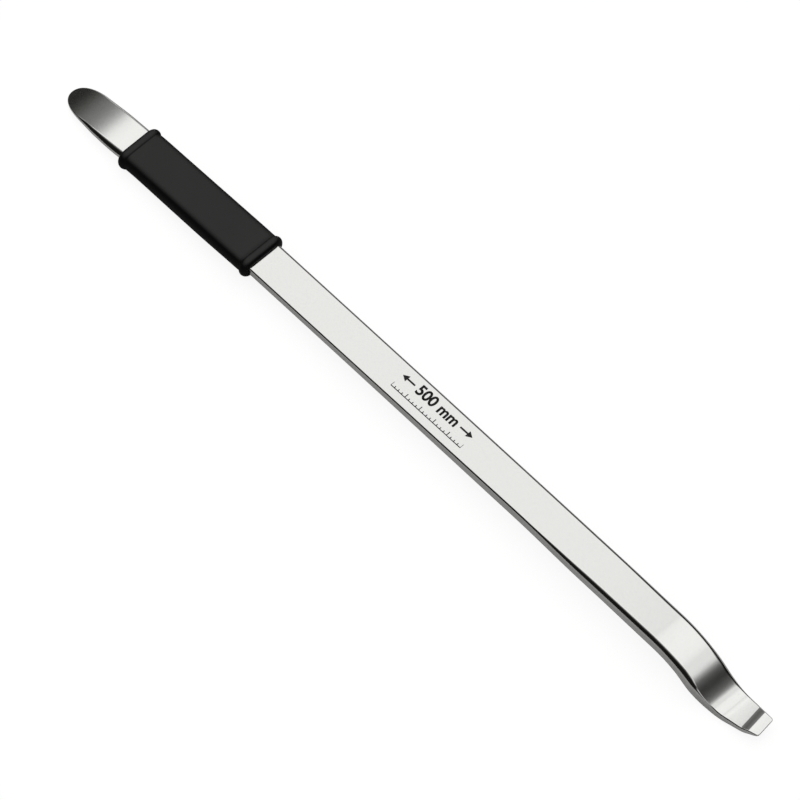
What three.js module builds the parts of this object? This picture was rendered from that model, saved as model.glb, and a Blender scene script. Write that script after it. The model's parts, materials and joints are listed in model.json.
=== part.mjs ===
// Tyre lever: a forged steel bar with a rounded spoon at one end and an offset hook at the other,
// and a rubber grip sleeve stretched over it beside the spoon. Millimetres. +X runs towards the
// hook, +Z is up, and the lever lies at rest on the plane z = 0, on its hook and its grip.
import * as THREE from 'three';
import { mergeGeometries } from 'three/addons/utils/BufferGeometryUtils.js';

// The bar's top line in side view, from the spoon's tip to the hook's tip. Slopes are in degrees.
const LEVER_LENGTH = 498;
const SPOON = { length: 45.5, tipSlope: 17, rootSlope: 1.5 };
const GRIP_STRAIGHT = 80;
const GRIP_EASE = 20;
const SHAFT_EASE = { length: 60, slope: -1.3 };
const DROP_BEND = { radius: 54, slope: -30 };
const STEEP = { length: 9.4, slope: -39 };
const STEEP_END = { length: 9, slope: -32.2 };
const RISE_BEND = { radius: 13, slope: 5 };
const HOOK = { length: 19, tipSlope: 7.5 };

// The bar's cross-section, as [distance from the spoon's tip, value]. A negative distance is
// counted back from the hook's tip. Near is the -Y side, far is the +Y side.
const HALF_WIDTH = [
  [0, 8.92], [7, 9.1], [13, 9.35], [20, 9.78], [26, 10.2], [37, 10.5], [46, 10.35],
  [52, 10.01], [60, 10], [90, 10.15], [140, 10.4], [330, 10.4], [-123, 10.8], [-43, 10.8],
  [-26, 9.5], [-18, 8.6], [-10, 7.8], [-4.5, 6.8], [0, 6.1],
];
const THICKNESS = [
  [0, 0.9], [1.5, 1.3], [7, 1.6], [13, 2.2], [19, 3.3], [26, 4.2], [37, 4.9], [46, 5.4],
  [52, 6.6], [60, 6.8], [100, 7.1], [140, 6], [330, 7.9], [-116, 9], [-73, 10], [-53, 9.7],
  [-43, 10.1], [-38, 10.1], [-30, 8.9], [-24, 6.6], [-18, 4.9], [-12, 3.9], [-6.5, 3.3],
  [-3, 2.4], [0, 0.8],
];
const NEAR_EDGE = [
  [0, 0.4], [12, 0.6], [20, 1.4], [30, 2.1], [40, 2.7], [46, 2.8], [60, 2.6], [90, 0.8],
  [206, 0.8], [340, 1], [367, 1.8], [-116, 2.3], [-74, 2.5], [-50, 2.8], [-44, 2.4], [-38, 1.4],
  [-32, 0.7], [-16, 0.6], [0, 0.4],
];
const FAR_EDGE = [
  [0, 0.4], [12, 0.7], [25, 1.6], [206, 1.6], [-116, 2], [-73, 2.6], [-38, 2.6], [-26, 1.6],
  [-16, 0.8], [0, 0.4],
];
const LOWER_EDGE = [
  [0, 0.4], [12, 0.8], [25, 1.7], [46, 2], [140, 1.5], [316, 1.8], [-73, 2.8], [-26, 1.6],
  [0, 0.4],
];
const TIP_ROUND = 17;
const TIP_POWER = 2.3;
const NOSE_CORNER = 1;

// How far the bar's middle strays to the far side: the hook is set a little sideways.
const SWAY = [
  [0, 0], [7, -0.15], [13, -0.3], [20, -0.5], [26, -0.68], [37, -0.76], [46, -0.5],
  [52, -0.22], [60, 0], [330, 0], [-123, -0.45], [-43, -0.45], [-34, -0.1], [-20, 0.9],
  [-9, 1.3], [0, 2.2],
];

// The near top edge is a round edge beside the spoon, and closer to a flat bevel past the grip.
const BEVEL_FROM = 8;
const BEVEL_TO = 22;
const BEVEL_POWER = 1.3;

// The catch across the hook, as height over the top line: a low ramp that faces the spoon, then a
// nose out to the tip. Its lines run at a slant across the hook, ahead on the near side.
const CATCH = [[-9.9, 0], [-9.5, 0.03], [-5.9, 0.4], [-5.5, 0.42], [-5.2, 0.41], [0, -0.1]];
const CATCH_SLANT = 0.154;
const SLANT_FROM = -28;
const SLANT_TO = -10;
const CATCH_START = -9.6;
const CATCH_CREST = -5.5;

// The rubber sleeve, measured along the bar from the spoon's tip.
const SLEEVE_START = 47.4;
const SLEEVE_LENGTH = 93;
const SLEEVE_GAP = 0.3;
const SLEEVE_WALL = 2.2;
const SLEEVE_CORNER = 5.2;
const COLLAR_LENGTH = 5.6;
const COLLAR_HEIGHT = 0.95;
const COLLAR_RIM = 0.4;

// How finely each shape is stepped. The first cross-section lies a small angle into the spoon's
// round tip, so that it has some width. A corner's radius stays a little under the room it has.
const CORNER_STEPS = 4;
const TIP_STEPS = 7;
const COLLAR_STEPS = 6;
const SLEEVE_STEPS = 4;
const MOUTH_LENGTH = 5;
const THROAT_LENGTH = 8;
const FIRST_RING_ANGLE = 0.12;
const CORNER_ROOM = 0.98;
const REST_PASSES = 4;

const STEEL = new THREE.MeshStandardMaterial({
  name: 'steel', color: 0xd8d9d8, metalness: 1, roughness: 0.28,
});
const RUBBER = new THREE.MeshStandardMaterial({
  name: 'rubber', color: 0x202021, metalness: 0, roughness: 0.7,
});

// A line made of arcs and straights that follow each other without a corner. Each run has a length
// and the slope at its end.
class ArcLine {
  constructor(startSlope, runs) {
    this.runs = [];
    let start = { x: 0, z: 0, slope: THREE.MathUtils.degToRad(startSlope) };
    let from = 0;
    for (const [length, endSlope] of runs) {
      const bend = (THREE.MathUtils.degToRad(endSlope) - start.slope) / length;
      this.runs.push({ from, bend, start });
      start = ArcLine.along(start, bend, length);
      from += length;
    }
    this.length = from;
    this.end = start;
  }

  static along(start, bend, distance) {
    const slope = start.slope + bend * distance;
    const middle = (start.slope + slope) / 2;
    const half = (slope - start.slope) / 2;
    const chord = Math.abs(half) < 1e-9 ? distance : (distance * Math.sin(half)) / half;
    return { x: start.x + chord * Math.cos(middle), z: start.z + chord * Math.sin(middle), slope };
  }

  at(distance) {
    const run = this.runs.findLast(({ from }) => distance >= from) ?? this.runs[0];
    return ArcLine.along(run.start, run.bend, distance - run.from);
  }
}

function bendLength({ radius, slope }, fromSlope) {
  return radius * THREE.MathUtils.degToRad(Math.abs(slope - fromSlope));
}

// The straight shaft takes what the other runs leave of the lever's length.
function makeTopLine() {
  const runs = (shaft) => [
    [SPOON.length, SPOON.rootSlope],
    [GRIP_STRAIGHT, SPOON.rootSlope],
    [GRIP_EASE, 0],
    [shaft, 0],
    [SHAFT_EASE.length, SHAFT_EASE.slope],
    [bendLength(DROP_BEND, SHAFT_EASE.slope), DROP_BEND.slope],
    [STEEP.length, STEEP.slope],
    [STEEP_END.length, STEEP_END.slope],
    [bendLength(RISE_BEND, STEEP_END.slope), RISE_BEND.slope],
    [HOOK.length, HOOK.tipSlope],
  ];
  const trial = new ArcLine(SPOON.tipSlope, runs(1));
  return new ArcLine(SPOON.tipSlope, runs(1 + LEVER_LENGTH - trial.end.x));
}

const topLine = makeTopLine();
const fromTip = (distance) => (distance < 0 ? topLine.length + distance : distance);

// A smooth curve through knots that never overshoots them: each knot's slope is the harmonic mean
// of the slopes on its two sides, or level where they differ in sign.
function smoothThrough(knots) {
  const last = knots.length - 1;
  const place = knots.map(([distance], i) => (i === last ? topLine.length : fromTip(distance)));
  const value = knots.map(([, v]) => v);
  const rise = value.slice(1).map((v, i) => (v - value[i]) / (place[i + 1] - place[i]));
  const slope = value.map((_, i) => {
    const before = rise[Math.max(i - 1, 0)];
    const after = rise[Math.min(i, last - 1)];
    return before * after > 0 ? (2 * before * after) / (before + after) : 0;
  });
  return (distance) => {
    const i = Math.min(Math.max(place.findLastIndex((p) => p <= distance), 0), last - 1);
    const span = place[i + 1] - place[i];
    const t = THREE.MathUtils.clamp((distance - place[i]) / span, 0, 1);
    const bow = span * t * (1 - t) * (slope[i] * (1 - t) - slope[i + 1] * t);
    return THREE.MathUtils.lerp(value[i], value[i + 1], t * t * (3 - 2 * t)) + bow;
  };
}

const halfWidthAt = smoothThrough(HALF_WIDTH);
const swayAt = smoothThrough(SWAY);
const thicknessAt = smoothThrough(THICKNESS);
const nearEdgeAt = smoothThrough(NEAR_EDGE);
const farEdgeAt = smoothThrough(FAR_EDGE);
const lowerEdgeAt = smoothThrough(LOWER_EDGE);
const catchAt = smoothThrough([[0, 0], ...CATCH]);

// How much narrower a rounded end of this length makes the outline at a distance from the end.
const roundedOff = (radius, distance, power = 2) => {
  const inside = Math.max(radius - distance, 0) / radius;
  return 1 - (1 - inside ** power) ** (1 / power);
};

// A rectangle with rounded corners as [y, z] points, anticlockwise seen from the hook. Radii are
// held to what the rectangle has room for. The near top corner is an arc when its power is 2, and
// closer to a flat bevel towards 1.
function roundedRectangle({ halfWidth, top, bottom, near, far, lower, power = 2 }) {
  const room = Math.min(halfWidth, (top - bottom) / 2) * CORNER_ROOM;
  const under = Math.min(lower, room);
  const nearRoom = Math.min(halfWidth, top - bottom - under) * CORNER_ROOM;
  const corners = [
    [halfWidth, top, Math.min(far, room), 2],
    [-halfWidth, top, Math.min(near, nearRoom), power],
    [-halfWidth, bottom, under, 2],
    [halfWidth, bottom, under, 2],
  ];
  const outwards = (part, shape) => Math.sign(part) * Math.abs(part) ** (2 / shape);
  return corners.flatMap(([y, z, radius, shape], turn) => {
    const centreY = y - Math.sign(y) * radius;
    const centreZ = z + (z === top ? -radius : radius);
    return Array.from({ length: CORNER_STEPS + 1 }, (_, i) => {
      const angle = (turn + i / CORNER_STEPS) * Math.PI / 2;
      return [
        centreY + radius * outwards(Math.cos(angle), shape),
        centreZ + radius * outwards(Math.sin(angle), shape),
      ];
    });
  });
}

function barSection(distance) {
  const fromHookTip = topLine.length - distance;
  const halfWidth = halfWidthAt(distance) * (1 - roundedOff(TIP_ROUND, distance, TIP_POWER))
    - NOSE_CORNER * roundedOff(NOSE_CORNER, fromHookTip);
  return {
    halfWidth,
    top: catchAt(distance),
    bottom: catchAt(distance) - thicknessAt(distance),
    near: nearEdgeAt(distance),
    far: farEdgeAt(distance),
    lower: lowerEdgeAt(distance),
    power: 2 + (BEVEL_POWER - 2) * THREE.MathUtils.smoothstep(distance, BEVEL_FROM, BEVEL_TO),
  };
}

// A cross-section's points where they are on the lever, square to the top line, slanted by the catch.
function ringAt(distance, outline, slant = 0) {
  const { x, z, slope } = topLine.at(distance);
  return outline.map(([side, up]) => {
    const along = -slant * side;
    return new THREE.Vector3(
      x + along * Math.cos(slope) - up * Math.sin(slope),
      side + swayAt(distance),
      z + along * Math.sin(slope) + up * Math.cos(slope),
    );
  });
}

// The closed skin over a row of rings. It has a flat cap at each end, or joins its last ring to its
// first.
function skin(rings, joined = false) {
  const count = rings[0].length;
  const points = rings.flat();
  const index = [];
  const rows = joined ? rings.length : rings.length - 1;
  for (let row = 0; row < rows; row += 1) {
    const next = (row + 1) % rings.length;
    for (let i = 0; i < count; i += 1) {
      const j = (i + 1) % count;
      index.push(row * count + i, row * count + j, next * count + j);
      index.push(row * count + i, next * count + j, next * count + i);
    }
  }
  if (!joined) {
    const lastRow = (rings.length - 1) * count;
    for (let i = 1; i < count - 1; i += 1) {
      index.push(0, i + 1, i);
      index.push(lastRow, lastRow + i, lastRow + i + 1);
    }
  }
  const geometry = new THREE.BufferGeometry().setFromPoints(points);
  geometry.setIndex(index);
  return geometry;
}

// Evenly spaced values after the first one, up to the last.
function steps(from, to, count) {
  return Array.from({ length: count }, (_, i) => from + ((to - from) * (i + 1)) / count);
}

// How far along the bar its cross-sections are, from the spoon's tip. Each run of the top line has
// a number of them that suits how much it bends.
// Ring distances that the bar and the sleeve's bore share, closest inside the sleeve's mouth, where
// the bar grows thicker.
function borePlaces() {
  const mouth = SLEEVE_START + MOUTH_LENGTH;
  const throat = mouth + THROAT_LENGTH;
  return [
    SLEEVE_START,
    ...steps(SLEEVE_START, mouth, 2),
    throat,
    ...steps(throat, SLEEVE_START + SLEEVE_LENGTH, SLEEVE_STEPS),
  ];
}

function barPlaces() {
  const starts = topLine.runs.map(({ from }) => from);
  const [, gripStart, , shaftStart, easeStart, dropStart, steepStart, ...lastStarts] = starts;
  const [endStart, riseStart, hookStart] = lastStarts;
  const tipAngles = [FIRST_RING_ANGLE, ...steps(0, Math.PI / 2, TIP_STEPS)];
  return [
    ...tipAngles.map((angle) => TIP_ROUND * (1 - Math.cos(angle))),
    ...steps(TIP_ROUND, gripStart, 6),
    ...borePlaces(),
    shaftStart,
    ...steps(shaftStart, easeStart, 12),
    ...steps(easeStart, dropStart, 4),
    ...steps(dropStart, steepStart, 6),
    ...steps(steepStart, endStart, 3),
    ...steps(endStart, riseStart, 3),
    ...steps(riseStart, hookStart, 5),
    ...steps(hookStart, fromTip(CATCH_START), 4),
    ...steps(fromTip(CATCH_START), fromTip(CATCH_CREST), 3),
    ...steps(fromTip(CATCH_CREST), fromTip(-NOSE_CORNER), 2),
    ...steps(fromTip(-NOSE_CORNER), topLine.length, 4),
  ];
}

function makeBar() {
  const rings = barPlaces().map((d) => {
    const ramp = THREE.MathUtils.smoothstep(d, fromTip(SLANT_FROM), fromTip(SLANT_TO));
    return ringAt(d, roundedRectangle(barSection(d)), CATCH_SLANT * ramp);
  });
  return new THREE.Mesh(skin(rings), STEEL);
}

// The sleeve's lengthwise profile as [distance, height over the bar]: over one rolled collar, the
// grip and the other collar, then straight back through the bore.
function sleeveProfile() {
  const end = SLEEVE_START + SLEEVE_LENGTH;
  const rise = SLEEVE_WALL + COLLAR_HEIGHT - COLLAR_RIM;
  const foot = Math.asin((SLEEVE_WALL - COLLAR_RIM) / rise);
  const roll = (angle) => [
    (COLLAR_LENGTH / 2) * (1 - Math.cos(angle)),
    COLLAR_RIM + rise * Math.sin(angle),
  ];
  const collar = [0, ...steps(0, Math.PI - foot, COLLAR_STEPS)].map(roll);
  const grip = steps(SLEEVE_START + COLLAR_LENGTH, end - COLLAR_LENGTH, SLEEVE_STEPS).slice(0, -1);
  return [
    ...collar.map(([along, height]) => [SLEEVE_START + along, height]),
    ...grip.map((d) => [d, SLEEVE_WALL]),
    ...collar.reverse().map(([along, height]) => [end - along, height]),
    ...borePlaces().reverse().map((d) => [d, 0]),
  ];
}

function makeSleeve() {
  const rings = sleeveProfile().map(([distance, height]) => {
    const bar = barSection(distance);
    const grow = SLEEVE_GAP + height;
    const corner = height > 0 ? SLEEVE_CORNER + Math.max(height - SLEEVE_WALL, 0) : 0;
    return ringAt(distance, roundedRectangle({
      halfWidth: bar.halfWidth + grow,
      top: bar.top + grow,
      bottom: bar.bottom - grow,
      near: Math.max(bar.near + SLEEVE_GAP, corner),
      far: Math.max(bar.far + SLEEVE_GAP, corner),
      lower: Math.max(bar.lower + SLEEVE_GAP, corner),
    }));
  });
  return new THREE.Mesh(skin(rings, true), RUBBER);
}

// The slope at which the lever lies on a bench: its lowest points at the spoon's half and at the
// hook's half are level.
function restingTurn(points, middle) {
  const lowest = (turn, side) => {
    const half = points.filter(({ x }) => Math.sign(x - middle) === side);
    const height = ({ x, z }) => z * Math.cos(turn) - x * Math.sin(turn);
    return half.reduce((low, point) => (height(point) < height(low) ? point : low));
  };
  let turn = 0;
  for (let pass = 0; pass < REST_PASSES; pass += 1) {
    const rear = lowest(turn, -1);
    const front = lowest(turn, 1);
    turn = Math.atan2(front.z - rear.z, front.x - rear.x);
  }
  return turn;
}

// Puts the lever down on z = 0 with the middle of its outline over the origin.
function layDown(parts) {
  const { position } = mergeGeometries(parts.map(({ geometry }) => geometry)).attributes;
  const points = Array.from({ length: position.count }, (_, i) => (
    new THREE.Vector3().fromBufferAttribute(position, i)
  ));
  const rested = new THREE.Group();
  rested.rotation.y = restingTurn(points, LEVER_LENGTH / 2);
  rested.updateMatrix();
  const turned = points.map((point) => point.applyMatrix4(rested.matrix));
  const box = new THREE.Box3().setFromPoints(turned);
  const centre = box.getCenter(new THREE.Vector3());
  rested.position.set(-centre.x, -centre.y, -box.min.z);
  rested.add(...parts);
  return rested;
}

const bar = makeBar();
bar.name = 'lever_bar';
const sleeve = makeSleeve();
sleeve.name = 'grip_sleeve';

const lever = new THREE.Group();
lever.add(layDown([bar, sleeve]));
export default lever;
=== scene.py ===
"""A tyre lever: a plated steel bar with a spoon, a rubber grip and a hook, lying on a pale bench.

The bar and the grip are made finely here, from the same outline as their CAD solids, and stand
for them. Sizes are in millimetres, and the meshes are made in metres in the frame's own axes:
+X towards the hook, -Y the near side, +Z up.
"""

import json
import math

import bmesh
import bpy
import numpy as np
from mathutils import Matrix, Vector


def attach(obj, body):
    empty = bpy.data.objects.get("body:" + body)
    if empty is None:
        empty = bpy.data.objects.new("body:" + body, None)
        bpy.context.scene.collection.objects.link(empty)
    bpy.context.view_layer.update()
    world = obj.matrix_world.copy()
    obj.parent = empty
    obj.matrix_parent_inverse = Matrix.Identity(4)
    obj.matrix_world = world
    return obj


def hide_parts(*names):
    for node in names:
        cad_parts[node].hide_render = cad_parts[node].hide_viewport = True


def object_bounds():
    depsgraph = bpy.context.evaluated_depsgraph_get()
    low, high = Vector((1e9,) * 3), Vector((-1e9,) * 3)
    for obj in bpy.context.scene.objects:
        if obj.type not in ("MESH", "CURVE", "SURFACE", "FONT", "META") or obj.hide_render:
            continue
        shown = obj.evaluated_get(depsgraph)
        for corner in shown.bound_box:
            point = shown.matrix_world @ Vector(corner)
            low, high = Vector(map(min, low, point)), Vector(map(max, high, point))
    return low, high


MM = 0.001

# The bar's top line in side view, from the spoon's tip to the hook's tip: the lengths of its runs
# and the slopes at their ends in degrees. The straight shaft takes what is left of the length.
LEVER_LENGTH = 498
SPOON_LENGTH = 45.5
SPOON_TIP_SLOPE = 17
GRIP_SLOPE = 1.5
GRIP_STRAIGHT = 80
GRIP_EASE = 20
SHAFT_EASE = 60
SHAFT_EASE_SLOPE = -1.3
DROP_RADIUS = 54
DROP_SLOPE = -30
STEEP_LENGTH = 9.4
STEEP_SLOPE = -39
STEEP_END_LENGTH = 9
STEEP_END_SLOPE = -32.2
RISE_RADIUS = 13
RISE_SLOPE = 5
HOOK_LENGTH = 19
HOOK_TIP_SLOPE = 7.5
BEND_BLEND = 5

# The bar's cross-section, as (distance from the spoon's tip, value). A negative distance, and the
# last one of a table, is counted back from the hook's tip. SWAY is how far the section's middle lies
# towards the far side.
HALF_WIDTH = [
    (0, 8.92), (7, 9.1), (13, 9.35), (20, 9.78), (26, 10.2), (37, 10.5), (46, 10.35),
    (52, 10.01), (60, 10), (90, 10.15), (140, 10.4), (330, 10.4), (-123, 10.8), (-43, 10.8),
    (-26, 9.5), (-18, 8.6), (-10, 7.8), (-4.5, 6.8), (0, 6.1),
]
SWAY = [
    (0, 0), (7, -0.15), (13, -0.3), (20, -0.5), (26, -0.68), (37, -0.76), (46, -0.5),
    (52, -0.22), (60, 0), (330, 0), (-123, -0.45), (-43, -0.45), (-34, -0.1), (-20, 0.9),
    (-9, 1.3), (0, 2.2),
]
THICKNESS = [
    (0, 0.9), (1.5, 1.3), (7, 1.6), (13, 2.2), (19, 3.3), (26, 4.2), (37, 4.9), (46, 5.4),
    (52, 6.6), (60, 6.8), (100, 7.1), (140, 6), (330, 7.9), (-116, 9), (-73, 10), (-53, 9.7),
    (-43, 10.1), (-38, 10.1), (-30, 8.9), (-24, 6.6), (-18, 4.9), (-12, 3.9), (-6.5, 3.3),
    (-3, 2.4), (0, 0.8),
]
NEAR_EDGE = [
    (0, 0.4), (12, 0.6), (20, 1.4), (30, 2.1), (40, 2.7), (46, 2.8), (60, 2.6), (90, 0.8),
    (206, 0.8), (340, 1), (367, 1.8), (-116, 2.3), (-74, 2.5), (-50, 2.8), (-44, 2.4),
    (-38, 1.4), (-32, 0.7), (-16, 0.6), (0, 0.4),
]
FAR_EDGE = [
    (0, 0.4), (12, 0.7), (25, 1.6), (206, 1.6), (-116, 2), (-73, 2.6), (-38, 2.6), (-26, 1.6),
    (-16, 0.8), (0, 0.4),
]
LOWER_EDGE = [
    (0, 0.4), (12, 0.8), (25, 1.7), (46, 2), (140, 1.5), (316, 1.8), (-73, 2.8), (-26, 1.6),
    (0, 0.4),
]
# The near top edge turns from an arc to a bevel over this stretch.
BEVEL_FROM = 8
BEVEL_TO = 22
BEVEL_POWER = 1.3
# The spoon's tip is rounded in plan, and so are the corners of the hook's end.
TIP_ROUND = 17
TIP_POWER = 2.3
NOSE_CORNER = 1

# The catch across the hook, as (distance back from the hook's tip, height over the top line).
CATCH = [(0, 0), (-9.9, 0), (-9.5, 0.03), (-5.9, 0.4), (-5.5, 0.42), (-5.2, 0.41), (0, -0.1)]
CATCH_SLANT = 0.154
SLANT_FROM = -28
SLANT_TO = -10

# The rubber sleeve, measured along the bar from the spoon's tip.
SLEEVE_START = 47.4
SLEEVE_LENGTH = 93
SLEEVE_GAP = 0.3
SLEEVE_WALL = 2.2
SLEEVE_CORNER = 5.2
COLLAR_LENGTH = 5.6
COLLAR_HEIGHT = 0.95
COLLAR_RIM = 0.4

# How finely a cross-section is stepped: round its corners, and across each of its flats. Corners
# leave a little of each flat between them.
CORNER_STEPS = 10
FLAT_STEPS = (20, 6, 20, 6)
CORNER_ROOM = 0.98
RING_POINTS = 4 * (CORNER_STEPS + 1) + sum(FLAT_STEPS) - 4

# How finely the pieces are stepped along the bar.
TIP_RINGS = 24
TIP_FIRST_ANGLE = 0.03
END_RINGS = 12
COLLAR_RINGS = 24
BORE_RINGS = 24
GRIP_STEP = 1.5


def smoothstep(value, start, end):
    t = np.clip((np.asarray(value, float) - start) / (end - start), 0, 1)
    return t * t * (3 - 2 * t)


class TopLine:
    """The bar's top line: its slope changes evenly along each run, and softly from run to run."""

    STEP = 0.05
    LENGTH_PASSES = 3

    def __init__(self):
        shaft = 1.0
        for _ in range(self.LENGTH_PASSES):
            self._lay_out(shaft)
            shaft += LEVER_LENGTH - self.x[-1]
        self._lay_out(shaft)

    def _lay_out(self, shaft):
        drop = DROP_RADIUS * math.radians(abs(DROP_SLOPE - SHAFT_EASE_SLOPE))
        rise = RISE_RADIUS * math.radians(RISE_SLOPE - STEEP_END_SLOPE)
        runs = [
            (SPOON_LENGTH, GRIP_SLOPE), (GRIP_STRAIGHT, GRIP_SLOPE), (GRIP_EASE, 0), (shaft, 0),
            (SHAFT_EASE, SHAFT_EASE_SLOPE), (drop, DROP_SLOPE), (STEEP_LENGTH, STEEP_SLOPE),
            (STEEP_END_LENGTH, STEEP_END_SLOPE), (rise, RISE_SLOPE), (HOOK_LENGTH, HOOK_TIP_SLOPE),
        ]
        self.starts = np.cumsum([0] + [length for length, _ in runs])
        slopes = [SPOON_TIP_SLOPE] + [slope for _, slope in runs]
        self.length = self.starts[-1]
        self.places = np.linspace(0, self.length, int(self.length / self.STEP) + 1)
        slope = np.interp(self.places, self.starts, np.radians(slopes))
        reach = int(BEND_BLEND / 2 / self.STEP)
        padded = np.pad(slope, reach, mode="reflect", reflect_type="odd")
        window = np.ones(2 * reach + 1) / (2 * reach + 1)
        self.slope = np.convolve(padded, window, mode="valid")
        self.x = self._sum_up(np.cos(self.slope))
        self.z = self._sum_up(np.sin(self.slope))

    def _sum_up(self, rate):
        steps = (rate[1:] + rate[:-1]) / 2 * np.diff(self.places)
        return np.concatenate([[0], np.cumsum(steps)])

    def at(self, distance):
        return [np.interp(distance, self.places, values) for values in (self.x, self.z, self.slope)]

    def from_tip(self, distance):
        return self.length + distance if distance < 0 else distance


top_line = TopLine()


def smooth_through(knots):
    """A smooth curve through knots that never overshoots them."""
    place = np.array([top_line.from_tip(distance) for distance, _ in knots])
    place[-1] = top_line.length
    value = np.array([v for _, v in knots], float)
    rise = np.diff(value) / np.diff(place)
    before = np.concatenate([rise[:1], rise])
    after = np.concatenate([rise, rise[-1:]])
    level = before * after <= 0
    slope = np.where(level, 0, 2 * before * after / np.where(level, 1, before + after))

    def at(distance):
        distance = np.asarray(distance, float)
        i = np.clip(np.searchsorted(place, distance, side="right") - 1, 0, len(place) - 2)
        span = place[i + 1] - place[i]
        t = np.clip((distance - place[i]) / span, 0, 1)
        bow = span * t * (1 - t) * (slope[i] * (1 - t) - slope[i + 1] * t)
        return value[i] + (value[i + 1] - value[i]) * t * t * (3 - 2 * t) + bow

    return at


half_width_at = smooth_through(HALF_WIDTH)
sway_at = smooth_through(SWAY)
thickness_at = smooth_through(THICKNESS)
near_edge_at = smooth_through(NEAR_EDGE)
far_edge_at = smooth_through(FAR_EDGE)
lower_edge_at = smooth_through(LOWER_EDGE)
catch_at = smooth_through(CATCH)


def rounded_off(radius, distance, power=2.0):
    """How much narrower a rounded end of this length makes an outline, as a share."""
    inside = np.maximum(radius - np.asarray(distance, float), 0) / radius
    return 1 - (1 - inside**power) ** (1 / power)


def bar_section(distance):
    from_hook_tip = top_line.length - distance
    half_width = half_width_at(distance) * (1 - rounded_off(TIP_ROUND, distance, TIP_POWER))
    top = catch_at(distance)
    section = {
        "half_width": half_width - NOSE_CORNER * rounded_off(NOSE_CORNER, from_hook_tip),
        "top": top,
        "bottom": top - thickness_at(distance),
        "near": near_edge_at(distance),
        "far": far_edge_at(distance),
        "lower": lower_edge_at(distance),
        "power": 2 + (BEVEL_POWER - 2) * smoothstep(distance, BEVEL_FROM, BEVEL_TO),
    }
    return {name: float(value) for name, value in section.items()}


def rounded_rectangle(half_width, top, bottom, near, far, lower, power=2.0):
    """The cross-section's outline as (y, z) points, from the far top corner over to the near side.

    The near top corner is an arc when its power is 2, and closer to a flat bevel towards 1.
    """
    room = min(half_width, (top - bottom) / 2) * CORNER_ROOM
    lower = min(lower, room)
    near_room = min(half_width, top - bottom - lower) * CORNER_ROOM
    corners = [
        (half_width, top, min(far, room)), (-half_width, top, min(near, near_room)),
        (-half_width, bottom, lower), (half_width, bottom, lower),
    ]
    arcs = []
    for turn, (y, z, radius) in enumerate(corners):
        angle = math.pi / 2 * (turn + np.linspace(0, 1, CORNER_STEPS + 1))
        out = np.stack([np.cos(angle), np.sin(angle)], 1)
        if turn == 1:
            out = np.sign(out) * np.abs(out) ** (2 / power)
        centre_y = y - math.copysign(radius, y)
        centre_z = z - radius if z == top else z + radius
        arcs.append(np.array([centre_y, centre_z]) + radius * out)
    outline = []
    for arc, after, count in zip(arcs, arcs[1:] + arcs[:1], FLAT_STEPS):
        share = (1 - np.cos(np.linspace(0, math.pi, count + 1)[1:-1])) / 2
        outline.append(arc)
        outline.append(arc[-1] + (after[0] - arc[-1]) * share[:, None])
    return np.concatenate(outline)


def ring_at(distance, outline, slant=0.0):
    """A cross-section's points in the lever's own side view, square to the top line."""
    x, z, slope = top_line.at(distance)
    side, up = outline.T
    along = -slant * side
    return np.stack([
        x + along * math.cos(slope) - up * math.sin(slope),
        side + sway_at(distance),
        z + along * math.sin(slope) + up * math.cos(slope),
    ], 1)


def spread(*stretches):
    """Distances along the bar: each stretch is (start, end, greatest step)."""
    places = [stretches[0][0]]
    for start, end, step in stretches:
        count = max(1, math.ceil((end - start) / step))
        places.extend(start + (end - start) * (np.arange(count) + 1) / count)
    return np.array(places)


def bar_rings():
    """The bar's rings, closest together on the catch's ramp and at the bar's rounded ends."""
    grip, _, shaft, ease, drop, *_, tip = top_line.starts[1:]
    bend, slanted, ramp, crest = drop - 5, tip + SLANT_FROM, tip - 10.5, tip - 5.5
    tip_angles = np.linspace(TIP_FIRST_ANGLE, math.pi / 2, TIP_RINGS)
    end_angles = np.linspace(0, math.pi / 2, END_RINGS)
    places = np.concatenate([
        TIP_ROUND * (1 - np.cos(tip_angles))[:-1],
        spread(
            (TIP_ROUND, grip, 0.8), (grip, shaft, 4), (shaft, ease, 3), (ease, bend, 1.5),
            (bend, slanted, 0.6), (slanted, ramp, 0.4), (ramp, crest, 0.1),
            (crest, tip - NOSE_CORNER, 0.3),
        ),
        tip - NOSE_CORNER * (1 - np.sin(end_angles[1:])),
    ])
    slants = CATCH_SLANT * smoothstep(places, slanted, tip + SLANT_TO)
    return [
        ring_at(place, rounded_rectangle(**bar_section(place)), slant)
        for place, slant in zip(places, slants)
    ]


def sleeve_profile():
    """(distance, height over the bar) over one collar, the grip and the other, and back inside."""
    end = SLEEVE_START + SLEEVE_LENGTH
    rise = SLEEVE_WALL + COLLAR_HEIGHT - COLLAR_RIM
    foot = math.asin((SLEEVE_WALL - COLLAR_RIM) / rise)
    roll = [
        (COLLAR_LENGTH / 2 * (1 - math.cos(angle)), COLLAR_RIM + rise * math.sin(angle))
        for angle in np.linspace(0, math.pi - foot, COLLAR_RINGS)
    ]
    grip = spread((SLEEVE_START + COLLAR_LENGTH, end - COLLAR_LENGTH, GRIP_STEP))[1:-1]
    return [
        *((SLEEVE_START + along, height) for along, height in roll),
        *((place, SLEEVE_WALL) for place in grip),
        *((end - along, height) for along, height in reversed(roll)),
        *((place, 0.0) for place in np.linspace(end, SLEEVE_START, BORE_RINGS)),
    ]


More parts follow.
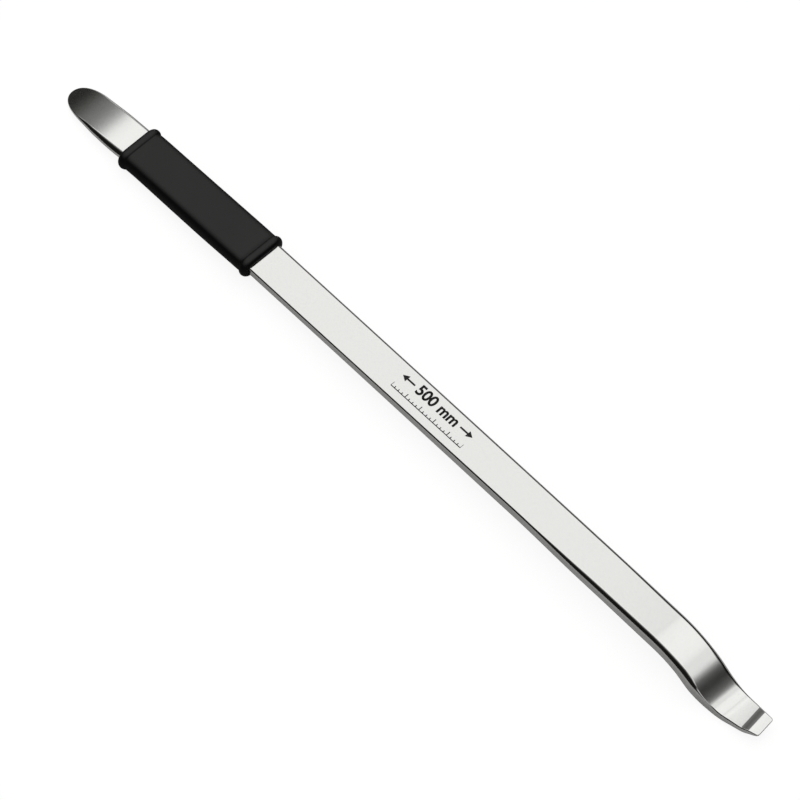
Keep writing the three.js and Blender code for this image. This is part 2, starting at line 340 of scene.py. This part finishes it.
def sleeve_rings():
    rings = []
    for place, height in sleeve_profile():
        bar = bar_section(place)
        grow = SLEEVE_GAP + height
        corner = SLEEVE_CORNER + max(height - SLEEVE_WALL, 0) if height > 0 else 0
        rings.append(ring_at(place, rounded_rectangle(
            half_width=bar["half_width"] + grow,
            top=bar["top"] + grow,
            bottom=bar["bottom"] - grow,
            near=max(bar["near"] + SLEEVE_GAP, corner),
            far=max(bar["far"] + SLEEVE_GAP, corner),
            lower=max(bar["lower"] + SLEEVE_GAP, corner),
        )))
    return rings


def skin(name, rings, joined):
    """A closed mesh over a row of rings, in the lever's own side view, in millimetres."""
    count = len(rings[0])
    rows = len(rings) if joined else len(rings) - 1
    faces = []
    for row in range(rows):
        here, after = row * count, (row + 1) % len(rings) * count
        for i in range(count):
            j = (i + 1) % count
            faces.append((here + i, here + j, after + j, after + i))
    if not joined:
        faces.append(tuple(reversed(range(count))))
        faces.append(tuple(range((len(rings) - 1) * count, len(rings) * count)))
    mesh = bpy.data.meshes.new(name)
    mesh.from_pydata(np.concatenate(rings).tolist(), [], faces)
    mesh.polygons.foreach_set("use_smooth", [True] * len(mesh.polygons))
    piece = bpy.data.objects.new(name, mesh)
    bpy.context.scene.collection.objects.link(piece)
    return piece


def paint(piece, name, values):
    """Stores one number for each vertex of a piece, for its material to read."""
    attribute = piece.data.attributes.new(name, "FLOAT", "POINT")
    attribute.data.foreach_set("value", np.asarray(values, np.float32))


# The shares of the bar's rings, at the spoon's tip and at the hook's end, over which wear fades out.
SPOON_WEAR = 0.12
HOOK_WEAR = 0.07


def end_wear(bar):
    """How much each point of the bar is rubbed: most at the spoon's tip and at the hook's end."""
    along = np.repeat(np.linspace(0, 1, len(bar.data.vertices) // RING_POINTS), RING_POINTS)
    spoon = np.maximum(1 - along / SPOON_WEAR, 0) ** 2
    hook = np.maximum((along - (1 - HOOK_WEAR)) / HOOK_WEAR, 0) ** 2
    return np.clip(spoon + hook, 0, 1)


def vertex_normals(piece):
    normals = np.empty(len(piece.data.vertices) * 3, np.float32)
    piece.data.vertex_normals.foreach_get("vector", normals)
    return normals.reshape(-1, 3)


def lay_down(pieces, record, cad_box):
    """Puts the pieces into the frame: the shaft's face as its mount says, the middle over x = 0."""
    face = next(m for m in record["mounts"] if m["name"] == "shaft_face")
    normal = Vector(face["axis"])
    turn = Matrix.Rotation(math.atan2(normal.x, normal.z), 4, "Y")
    for piece in pieces:
        piece.data.transform(turn @ Matrix.Scale(MM, 4))
    points = np.concatenate([[v.co[:] for v in piece.data.vertices] for piece in pieces])
    middle = (cad_box[0].x + cad_box[1].x - points[:, 0].min() - points[:, 0].max()) / 2
    shaft_x, shaft_z, _ = top_line.at(LEVER_LENGTH / 2)
    shaft = turn @ Vector((shaft_x * MM, 0, shaft_z * MM))
    height = (Vector(face["pos_m"]) - shaft - Vector((middle, 0, 0))).dot(normal) / normal.z
    for piece in pieces:
        piece.data.transform(Matrix.Translation((middle, 0, height)))
    return Matrix.Translation((middle, 0, height)) @ turn


# The printed size mark on the shaft, measured from the lever's middle: a size between two arrows,
# over a plain rule.
MARK_PLACE = (13.2, 0.6)
MARK_LENGTH = 50
MARK_DEPTH = 0.03
LETTER_SIZE = 8.6
LETTER_WEIGHT = 0.26
LETTER_ROOM = 2.2
UPPER_ROW = 2.7
LINE_WIDTH = 1
ARROW_LENGTH = 3.4
ARROW_WIDTH = 4
LOWER_ROW = -5.9
RULE_STEPS = 20
LONG_TICK_EVERY = 4
TICK_WIDTH = 0.5
TICK_HEIGHT = 1.5
LONG_TICK_HEIGHT = 2.8


def add_shape(flat, points):
    flat.faces.new([flat.verts.new((x, y, 0)) for x, y in points])


def add_box(flat, x0, x1, y0, y1):
    add_shape(flat, [(x0, y0), (x1, y0), (x1, y1), (x0, y1)])


def add_letters(flat):
    """Puts the size's letters in, and gives back how far they reach to each side."""
    curve = bpy.data.curves.new("size_letters", "FONT")
    curve.body = "500 mm"
    curve.size = LETTER_SIZE
    curve.offset = LETTER_WEIGHT
    curve.align_x = "CENTER"
    curve.align_y = "CENTER"
    letters = bpy.data.objects.new("size_letters", curve)
    bpy.context.scene.collection.objects.link(letters)
    bpy.context.view_layer.update()
    text = letters.to_mesh()
    text.transform(Matrix.Translation((0, UPPER_ROW, 0)))
    flat.from_mesh(text)
    reach = max(abs(vertex.co.x) for vertex in text.vertices)
    letters.to_mesh_clear()
    bpy.data.objects.remove(letters)
    bpy.data.curves.remove(curve)
    return reach


def add_arrow(flat, side, start, end):
    """An arrow in the upper row, from start out to end, on the side -1 or 1."""
    neck = side * (end - ARROW_LENGTH)
    add_box(flat, side * start, neck, UPPER_ROW - LINE_WIDTH / 2, UPPER_ROW + LINE_WIDTH / 2)
    low, high = UPPER_ROW - ARROW_WIDTH / 2, UPPER_ROW + ARROW_WIDTH / 2
    add_shape(flat, [(neck, low), (side * end, UPPER_ROW), (neck, high)])


def add_rule(flat, outer):
    """The rule in the lower row: a line with ticks standing on it."""
    add_box(flat, -outer, outer, LOWER_ROW, LOWER_ROW + TICK_WIDTH)
    for step in range(RULE_STEPS + 1):
        middle = -outer + MARK_LENGTH * step / RULE_STEPS
        height = TICK_HEIGHT if step % LONG_TICK_EVERY else LONG_TICK_HEIGHT
        left, right = max(middle - TICK_WIDTH / 2, -outer), min(middle + TICK_WIDTH / 2, outer)
        add_box(flat, left, right, LOWER_ROW + TICK_WIDTH, LOWER_ROW + height)


def make_mark(placing):
    """The mark as a thin closed skin of ink, half of it let into the shaft's face."""
    flat = bmesh.new()
    inner = add_letters(flat) + LETTER_ROOM
    outer = MARK_LENGTH / 2
    for side in (-1, 1):
        add_arrow(flat, side, inner, outer)
    add_rule(flat, outer)
    bmesh.ops.recalc_face_normals(flat, faces=flat.faces)
    for face in flat.faces:
        if face.normal.z > 0:
            face.normal_flip()
    made = bmesh.ops.extrude_face_region(flat, geom=list(flat.faces), use_keep_orig=True)
    raised = [item for item in made["geom"] if isinstance(item, bmesh.types.BMVert)]
    bmesh.ops.translate(flat, verts=raised, vec=(0, 0, 2 * MARK_DEPTH))
    bmesh.ops.recalc_face_normals(flat, faces=flat.faces)
    mesh = bpy.data.meshes.new("size_mark")
    flat.to_mesh(mesh)
    flat.free()
    shaft_x, shaft_z, _ = top_line.at(LEVER_LENGTH / 2)
    centre = Vector((shaft_x + MARK_PLACE[0], MARK_PLACE[1], shaft_z - MARK_DEPTH)) * MM
    mesh.transform(placing @ Matrix.Translation(centre) @ Matrix.Scale(MM, 4))
    mark = bpy.data.objects.new("size_mark", mesh)
    bpy.context.scene.collection.objects.link(mark)
    return mark


class Graph:
    """Builds a material's nodes, one call for each."""

    def __init__(self, name):
        self.material = bpy.data.materials.new(name)
        self.material.use_nodes = True
        self.nodes = self.material.node_tree.nodes
        self.links = self.material.node_tree.links
        self.shader = self.nodes["Principled BSDF"]

    def add(self, kind, values=None, **settings):
        node = self.nodes.new("ShaderNode" + kind)
        for name, value in settings.items():
            setattr(node, name, value)
        for socket, value in (values or {}).items():
            self.put(node.inputs[socket], value)
        return node

    def put(self, socket, value):
        if isinstance(value, bpy.types.NodeSocket):
            self.links.new(value, socket)
        else:
            socket.default_value = value

    def noise(self, scale, detail, roughness):
        place = self.add("TexCoord").outputs["Object"]
        values = {"Scale": scale, "Detail": detail, "Roughness": roughness, "Vector": place}
        return self.add("TexNoise", values).outputs["Fac"]

    def spread(self, value, low, high, start, end):
        node = self.add("MapRange", {
            "Value": value, "From Min": start, "From Max": end, "To Min": low, "To Max": high,
        })
        return node.outputs["Result"]

    def tones(self, value, dark, light, start=0.0, end=1.0):
        """A colour between two tones, by a value between start and end."""
        ramp = self.add("ValToRGB", {"Fac": value})
        first, last = ramp.color_ramp.elements
        first.position, last.position = start, end
        first.color, last.color = dark, light
        return ramp.outputs["Color"]

    def bump(self, height, distance, strength, normal=None):
        node = self.add("Bump", {"Height": height, "Distance": distance, "Strength": strength})
        if normal is not None:
            self.put(node.inputs["Normal"], normal)
        return node.outputs["Normal"]

    def shade(self, **values):
        for socket, value in values.items():
            self.put(self.shader.inputs[socket.replace("_", " ")], value)
        return self.material


def steel_material():
    """Polished chrome plate: a faint polishing cloud, fine pits, and ends rubbed a little duller."""
    graph = Graph("chrome_plate")
    cloud = graph.noise(70, 4, 0.55)
    pits = graph.noise(900, 3, 0.65)
    grain = graph.noise(4200, 2, 0.6)
    rubbed = graph.add("Attribute", attribute_name="rubbed").outputs["Fac"]
    soft = graph.spread(cloud, 0.085, 0.115, 0.3, 0.7)
    worn = graph.add("Math", {0: rubbed, 1: 0.06}, operation="MULTIPLY").outputs[0]
    rough = graph.add("Math", {0: soft, 1: worn}, operation="ADD").outputs[0]
    wave = graph.bump(cloud, 0.0002, 0.05)
    return graph.shade(
        Base_Color=graph.tones(pits, (0.81, 0.81, 0.805, 1), (0.85, 0.85, 0.845, 1), 0.25, 0.5),
        Metallic=1.0,
        Roughness=rough,
        Normal=graph.bump(grain, 0.00002, 0.3, wave),
    )


def rubber_material():
    """Moulded rubber, matt and black, with painted light: the upward faces are painted greyer and
    the sides nearly black.
    """
    graph = Graph("moulded_rubber")
    grain = graph.noise(3400, 3, 0.65)
    cloud = graph.noise(55, 4, 0.5)
    upward = graph.add("Attribute", attribute_name="upward").outputs["Fac"]
    # Painted top light: the base colour goes from near black on the sides to grey on faces that look
    # upward.
    painted_top_light = graph.add("MixRGB", {
        "Fac": upward, "Color1": (0.0015, 0.0015, 0.0016, 1), "Color2": (0.048, 0.048, 0.0483, 1),
    })
    return graph.shade(
        Base_Color=painted_top_light.outputs["Color"],
        Specular_IOR_Level=0.14,
        Roughness=graph.spread(cloud, 0.5, 0.62, 0.3, 0.7),
        Normal=graph.bump(grain, 0.00005, 0.45),
    )


def ink_material():
    """Black screen-printing ink, slightly thin and mottled."""
    graph = Graph("mark_ink")
    tone = graph.tones(graph.noise(1800, 3, 0.6), (0.006, 0.006, 0.006, 1), (0.02, 0.02, 0.02, 1))
    return graph.shade(Base_Color=tone, Roughness=0.5, Specular_IOR_Level=0.3)


BENCH_HALF = 30.0


def make_floor():
    """A plain pale bench, which is greyer in the plate's reflections than to the camera."""
    mesh = bpy.data.meshes.new("bench_top")
    corners = [(x * BENCH_HALF, y * BENCH_HALF, 0) for x, y in ((-1, -1), (1, -1), (1, 1), (-1, 1))]
    mesh.from_pydata(corners, [], [(0, 1, 2, 3)])
    floor = bpy.data.objects.new("bench_top", mesh)
    bpy.context.scene.collection.objects.link(floor)
    graph = Graph("bench_paint")
    floor.data.materials.append(graph.shade(Base_Color=(0.55, 0.55, 0.55, 1), Roughness=0.9))
    plain = graph.add("Emission", {"Color": (1, 1, 1, 1), "Strength": 0.88})
    shaded = graph.add("BsdfDiffuse", {"Color": (0.25, 0.25, 0.25, 1)})
    glow = graph.add("AddShader", {0: shaded.outputs[0], 1: plain.outputs[0]})
    path = graph.add("LightPath")
    mix = graph.add("MixShader", {
        0: path.outputs["Is Camera Ray"], 1: graph.shader.outputs[0], 2: glow.outputs[0],
    })
    graph.links.new(mix.outputs[0], graph.nodes["Material Output"].inputs["Surface"])


# The studio light's levels by height above the horizon, as the direction's upward part.
HEIGHT_LEVELS = [
    (0, 0.01), (0.5, 0.008), (0.54, 0.018), (0.583, 0.08), (0.605, 0.13), (0.625, 0.165),
    (0.663, 0.195), (0.681, 0.25), (0.699, 0.32), (0.72, 0.47), (0.75, 0.97), (0.8, 1.05),
    (0.85, 0.92), (0.89, 0.98), (1, 1.05),
]
# How the light falls off along the lever, by the direction's part along x.
ALONG_FROM = -0.5
ALONG_LEVELS = [
    (-0.5, 1), (-0.357, 1), (-0.348, 0.8), (-0.336, 0.8), (-0.327, 0.97), (-0.3, 1), (0.3, 1),
    (0.46, 0.84), (0.54, 0.82), (0.58, 0.88), (0.6, 0.9), (0.632, 0.8), (0.665, 0.5),
    (0.71, 0.45), (0.76, 0.47), (1, 0.54),
]
# Two low soft boxes, which light the plate for views from nearer the bench.
SOFT_BOXES = [(-0.65, 0.69, 0.32), (0.7, -0.66, 0.27)]
SOFT_BOX_COLOUR = (0.5, 0.5, 0.5, 1)
# The cosines of the angles from a box's centre at which its light ends, and is full.
SOFT_BOX_EDGE = 0.94
SOFT_BOX_FULL = 0.98
BACKDROP_COLOUR = (0.985, 0.985, 0.985, 1)
# Light levels under the limit are a little warmer than those over it.
WARM_LIMIT = 0.1
WARM_BLUE = 0.9
PLAIN_BLUE = 0.99


def level_ramp(nodes, levels):
    ramp = nodes.new("ShaderNodeValToRGB")
    elements = ramp.color_ramp.elements
    while len(elements) < len(levels):
        elements.new(0.5)
    for element, (place, level) in zip(elements, levels):
        element.position = place
        blue = WARM_BLUE if level < WARM_LIMIT else PLAIN_BLUE
        element.color = (level, level, level * blue, 1)
    return ramp


def light_scene():
    """Soft studio light: bright overhead, dark towards the horizon, with a plain pale backdrop."""
    scene = bpy.context.scene
    world = bpy.data.worlds.new("studio")
    scene.world = world
    world.use_nodes = True
    nodes, links = world.node_tree.nodes, world.node_tree.links
    direction = nodes.new("ShaderNodeTexCoord").outputs["Generated"]
    split = nodes.new("ShaderNodeSeparateXYZ")
    links.new(direction, split.inputs[0])
    height = level_ramp(nodes, HEIGHT_LEVELS)
    links.new(split.outputs["Z"], height.inputs["Fac"])
    shift = nodes.new("ShaderNodeMapRange")
    shift.inputs["From Min"].default_value = ALONG_FROM
    links.new(split.outputs["X"], shift.inputs["Value"])
    span = 1 - ALONG_FROM
    along = level_ramp(nodes, [((x - ALONG_FROM) / span, level) for x, level in ALONG_LEVELS])
    links.new(shift.outputs["Result"], along.inputs["Fac"])
    colour = nodes.new("ShaderNodeMixRGB")
    colour.blend_type = "MULTIPLY"
    colour.inputs["Fac"].default_value = 1
    links.new(height.outputs["Color"], colour.inputs["Color1"])
    links.new(along.outputs["Color"], colour.inputs["Color2"])
    for centre in SOFT_BOXES:
        aim = nodes.new("ShaderNodeVectorMath")
        aim.operation = "DOT_PRODUCT"
        links.new(direction, aim.inputs[0])
        aim.inputs[1].default_value = centre
        glow = nodes.new("ShaderNodeMapRange")
        glow.interpolation_type = "SMOOTHSTEP"
        glow.inputs["From Min"].default_value = SOFT_BOX_EDGE
        glow.inputs["From Max"].default_value = SOFT_BOX_FULL
        links.new(aim.outputs["Value"], glow.inputs["Value"])
        box = nodes.new("ShaderNodeMixRGB")
        box.blend_type = "ADD"
        links.new(glow.outputs["Result"], box.inputs["Fac"])
        links.new(colour.outputs["Color"], box.inputs["Color1"])
        box.inputs["Color2"].default_value = SOFT_BOX_COLOUR
        colour = box
    gradient = nodes["Background"]
    links.new(colour.outputs["Color"], gradient.inputs["Color"])
    pale = nodes.new("ShaderNodeBackground")
    pale.inputs["Color"].default_value = BACKDROP_COLOUR
    mix = nodes.new("ShaderNodeMixShader")
    links.new(nodes.new("ShaderNodeLightPath").outputs["Is Camera Ray"], mix.inputs[0])
    links.new(gradient.outputs[0], mix.inputs[1])
    links.new(pale.outputs[0], mix.inputs[2])
    links.new(mix.outputs[0], nodes["World Output"].inputs["Surface"])
    scene.view_settings.view_transform = "Standard"
    scene.view_settings.look = "None"


# The camera looks at the shaft's face from its near side and above, from far away. Its angles and
# its aim, in millimetres from the lever's middle, are in the lever's own side view.
CAMERA_AZIMUTH = 46.8
CAMERA_ELEVATION = 58.95
CAMERA_LENS = 1650
FRAME_WIDTH = 0.395
CLIP_SHARE = 3
AIM = (-2.2, -7.8, 0)


def make_camera(placing):
    shaft_x, shaft_z, _ = top_line.at(LEVER_LENGTH / 2)
    centre = placing @ (Vector((shaft_x, 0, shaft_z)) * MM)
    axes = placing.to_3x3()
    azimuth, elevation = math.radians(CAMERA_AZIMUTH), math.radians(CAMERA_ELEVATION)
    back = axes @ Vector((
        math.sin(azimuth) * math.cos(elevation),
        -math.cos(azimuth) * math.cos(elevation),
        math.sin(elevation),
    ))
    right = axes @ Vector((math.cos(azimuth), math.sin(azimuth), 0))
    data = bpy.data.cameras.new("camera")
    data.lens = CAMERA_LENS
    distance = FRAME_WIDTH * data.lens / data.sensor_width
    data.clip_end = distance * CLIP_SHARE
    camera = bpy.data.objects.new("camera", data)
    matrix = Matrix((right, back.cross(right), back)).transposed().to_4x4()
    matrix.translation = centre + axes @ (Vector(AIM) * MM) + back * distance
    camera.matrix_world = matrix
    bpy.context.scene.collection.objects.link(camera)
    bpy.context.scene.camera = camera


# How level the sleeve's face is, as the upward part of its normal, between where its painted top
# light starts and where it is full.
UPWARD_FROM = 0.68
UPWARD_TO = 0.985

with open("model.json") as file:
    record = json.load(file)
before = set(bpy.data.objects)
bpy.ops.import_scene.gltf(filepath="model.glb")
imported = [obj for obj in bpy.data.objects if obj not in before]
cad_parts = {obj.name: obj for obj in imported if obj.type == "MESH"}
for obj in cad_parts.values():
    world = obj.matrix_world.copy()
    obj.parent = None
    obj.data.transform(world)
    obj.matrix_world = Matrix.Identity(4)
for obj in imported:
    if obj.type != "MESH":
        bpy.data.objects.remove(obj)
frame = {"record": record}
cad_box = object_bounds()

bar = skin("forged_bar", bar_rings(), joined=False)
sleeve = skin("rubber_grip", sleeve_rings(), joined=True)
placing = lay_down([bar, sleeve], frame["record"], cad_box)

mark = make_mark(placing)

paint(bar, "rubbed", end_wear(bar))
# How upward each point of the sleeve faces, for the rubber's painted top light.
paint(sleeve, "upward", smoothstep(vertex_normals(sleeve)[:, 2], UPWARD_FROM, UPWARD_TO))
bar.data.materials.append(steel_material())
sleeve.data.materials.append(rubber_material())
mark.data.materials.append(ink_material())
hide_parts("lever_bar")
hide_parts("grip_sleeve")
for piece in (bar, sleeve, mark):
    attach(piece, "root")

make_floor()
light_scene()
make_camera(placing)
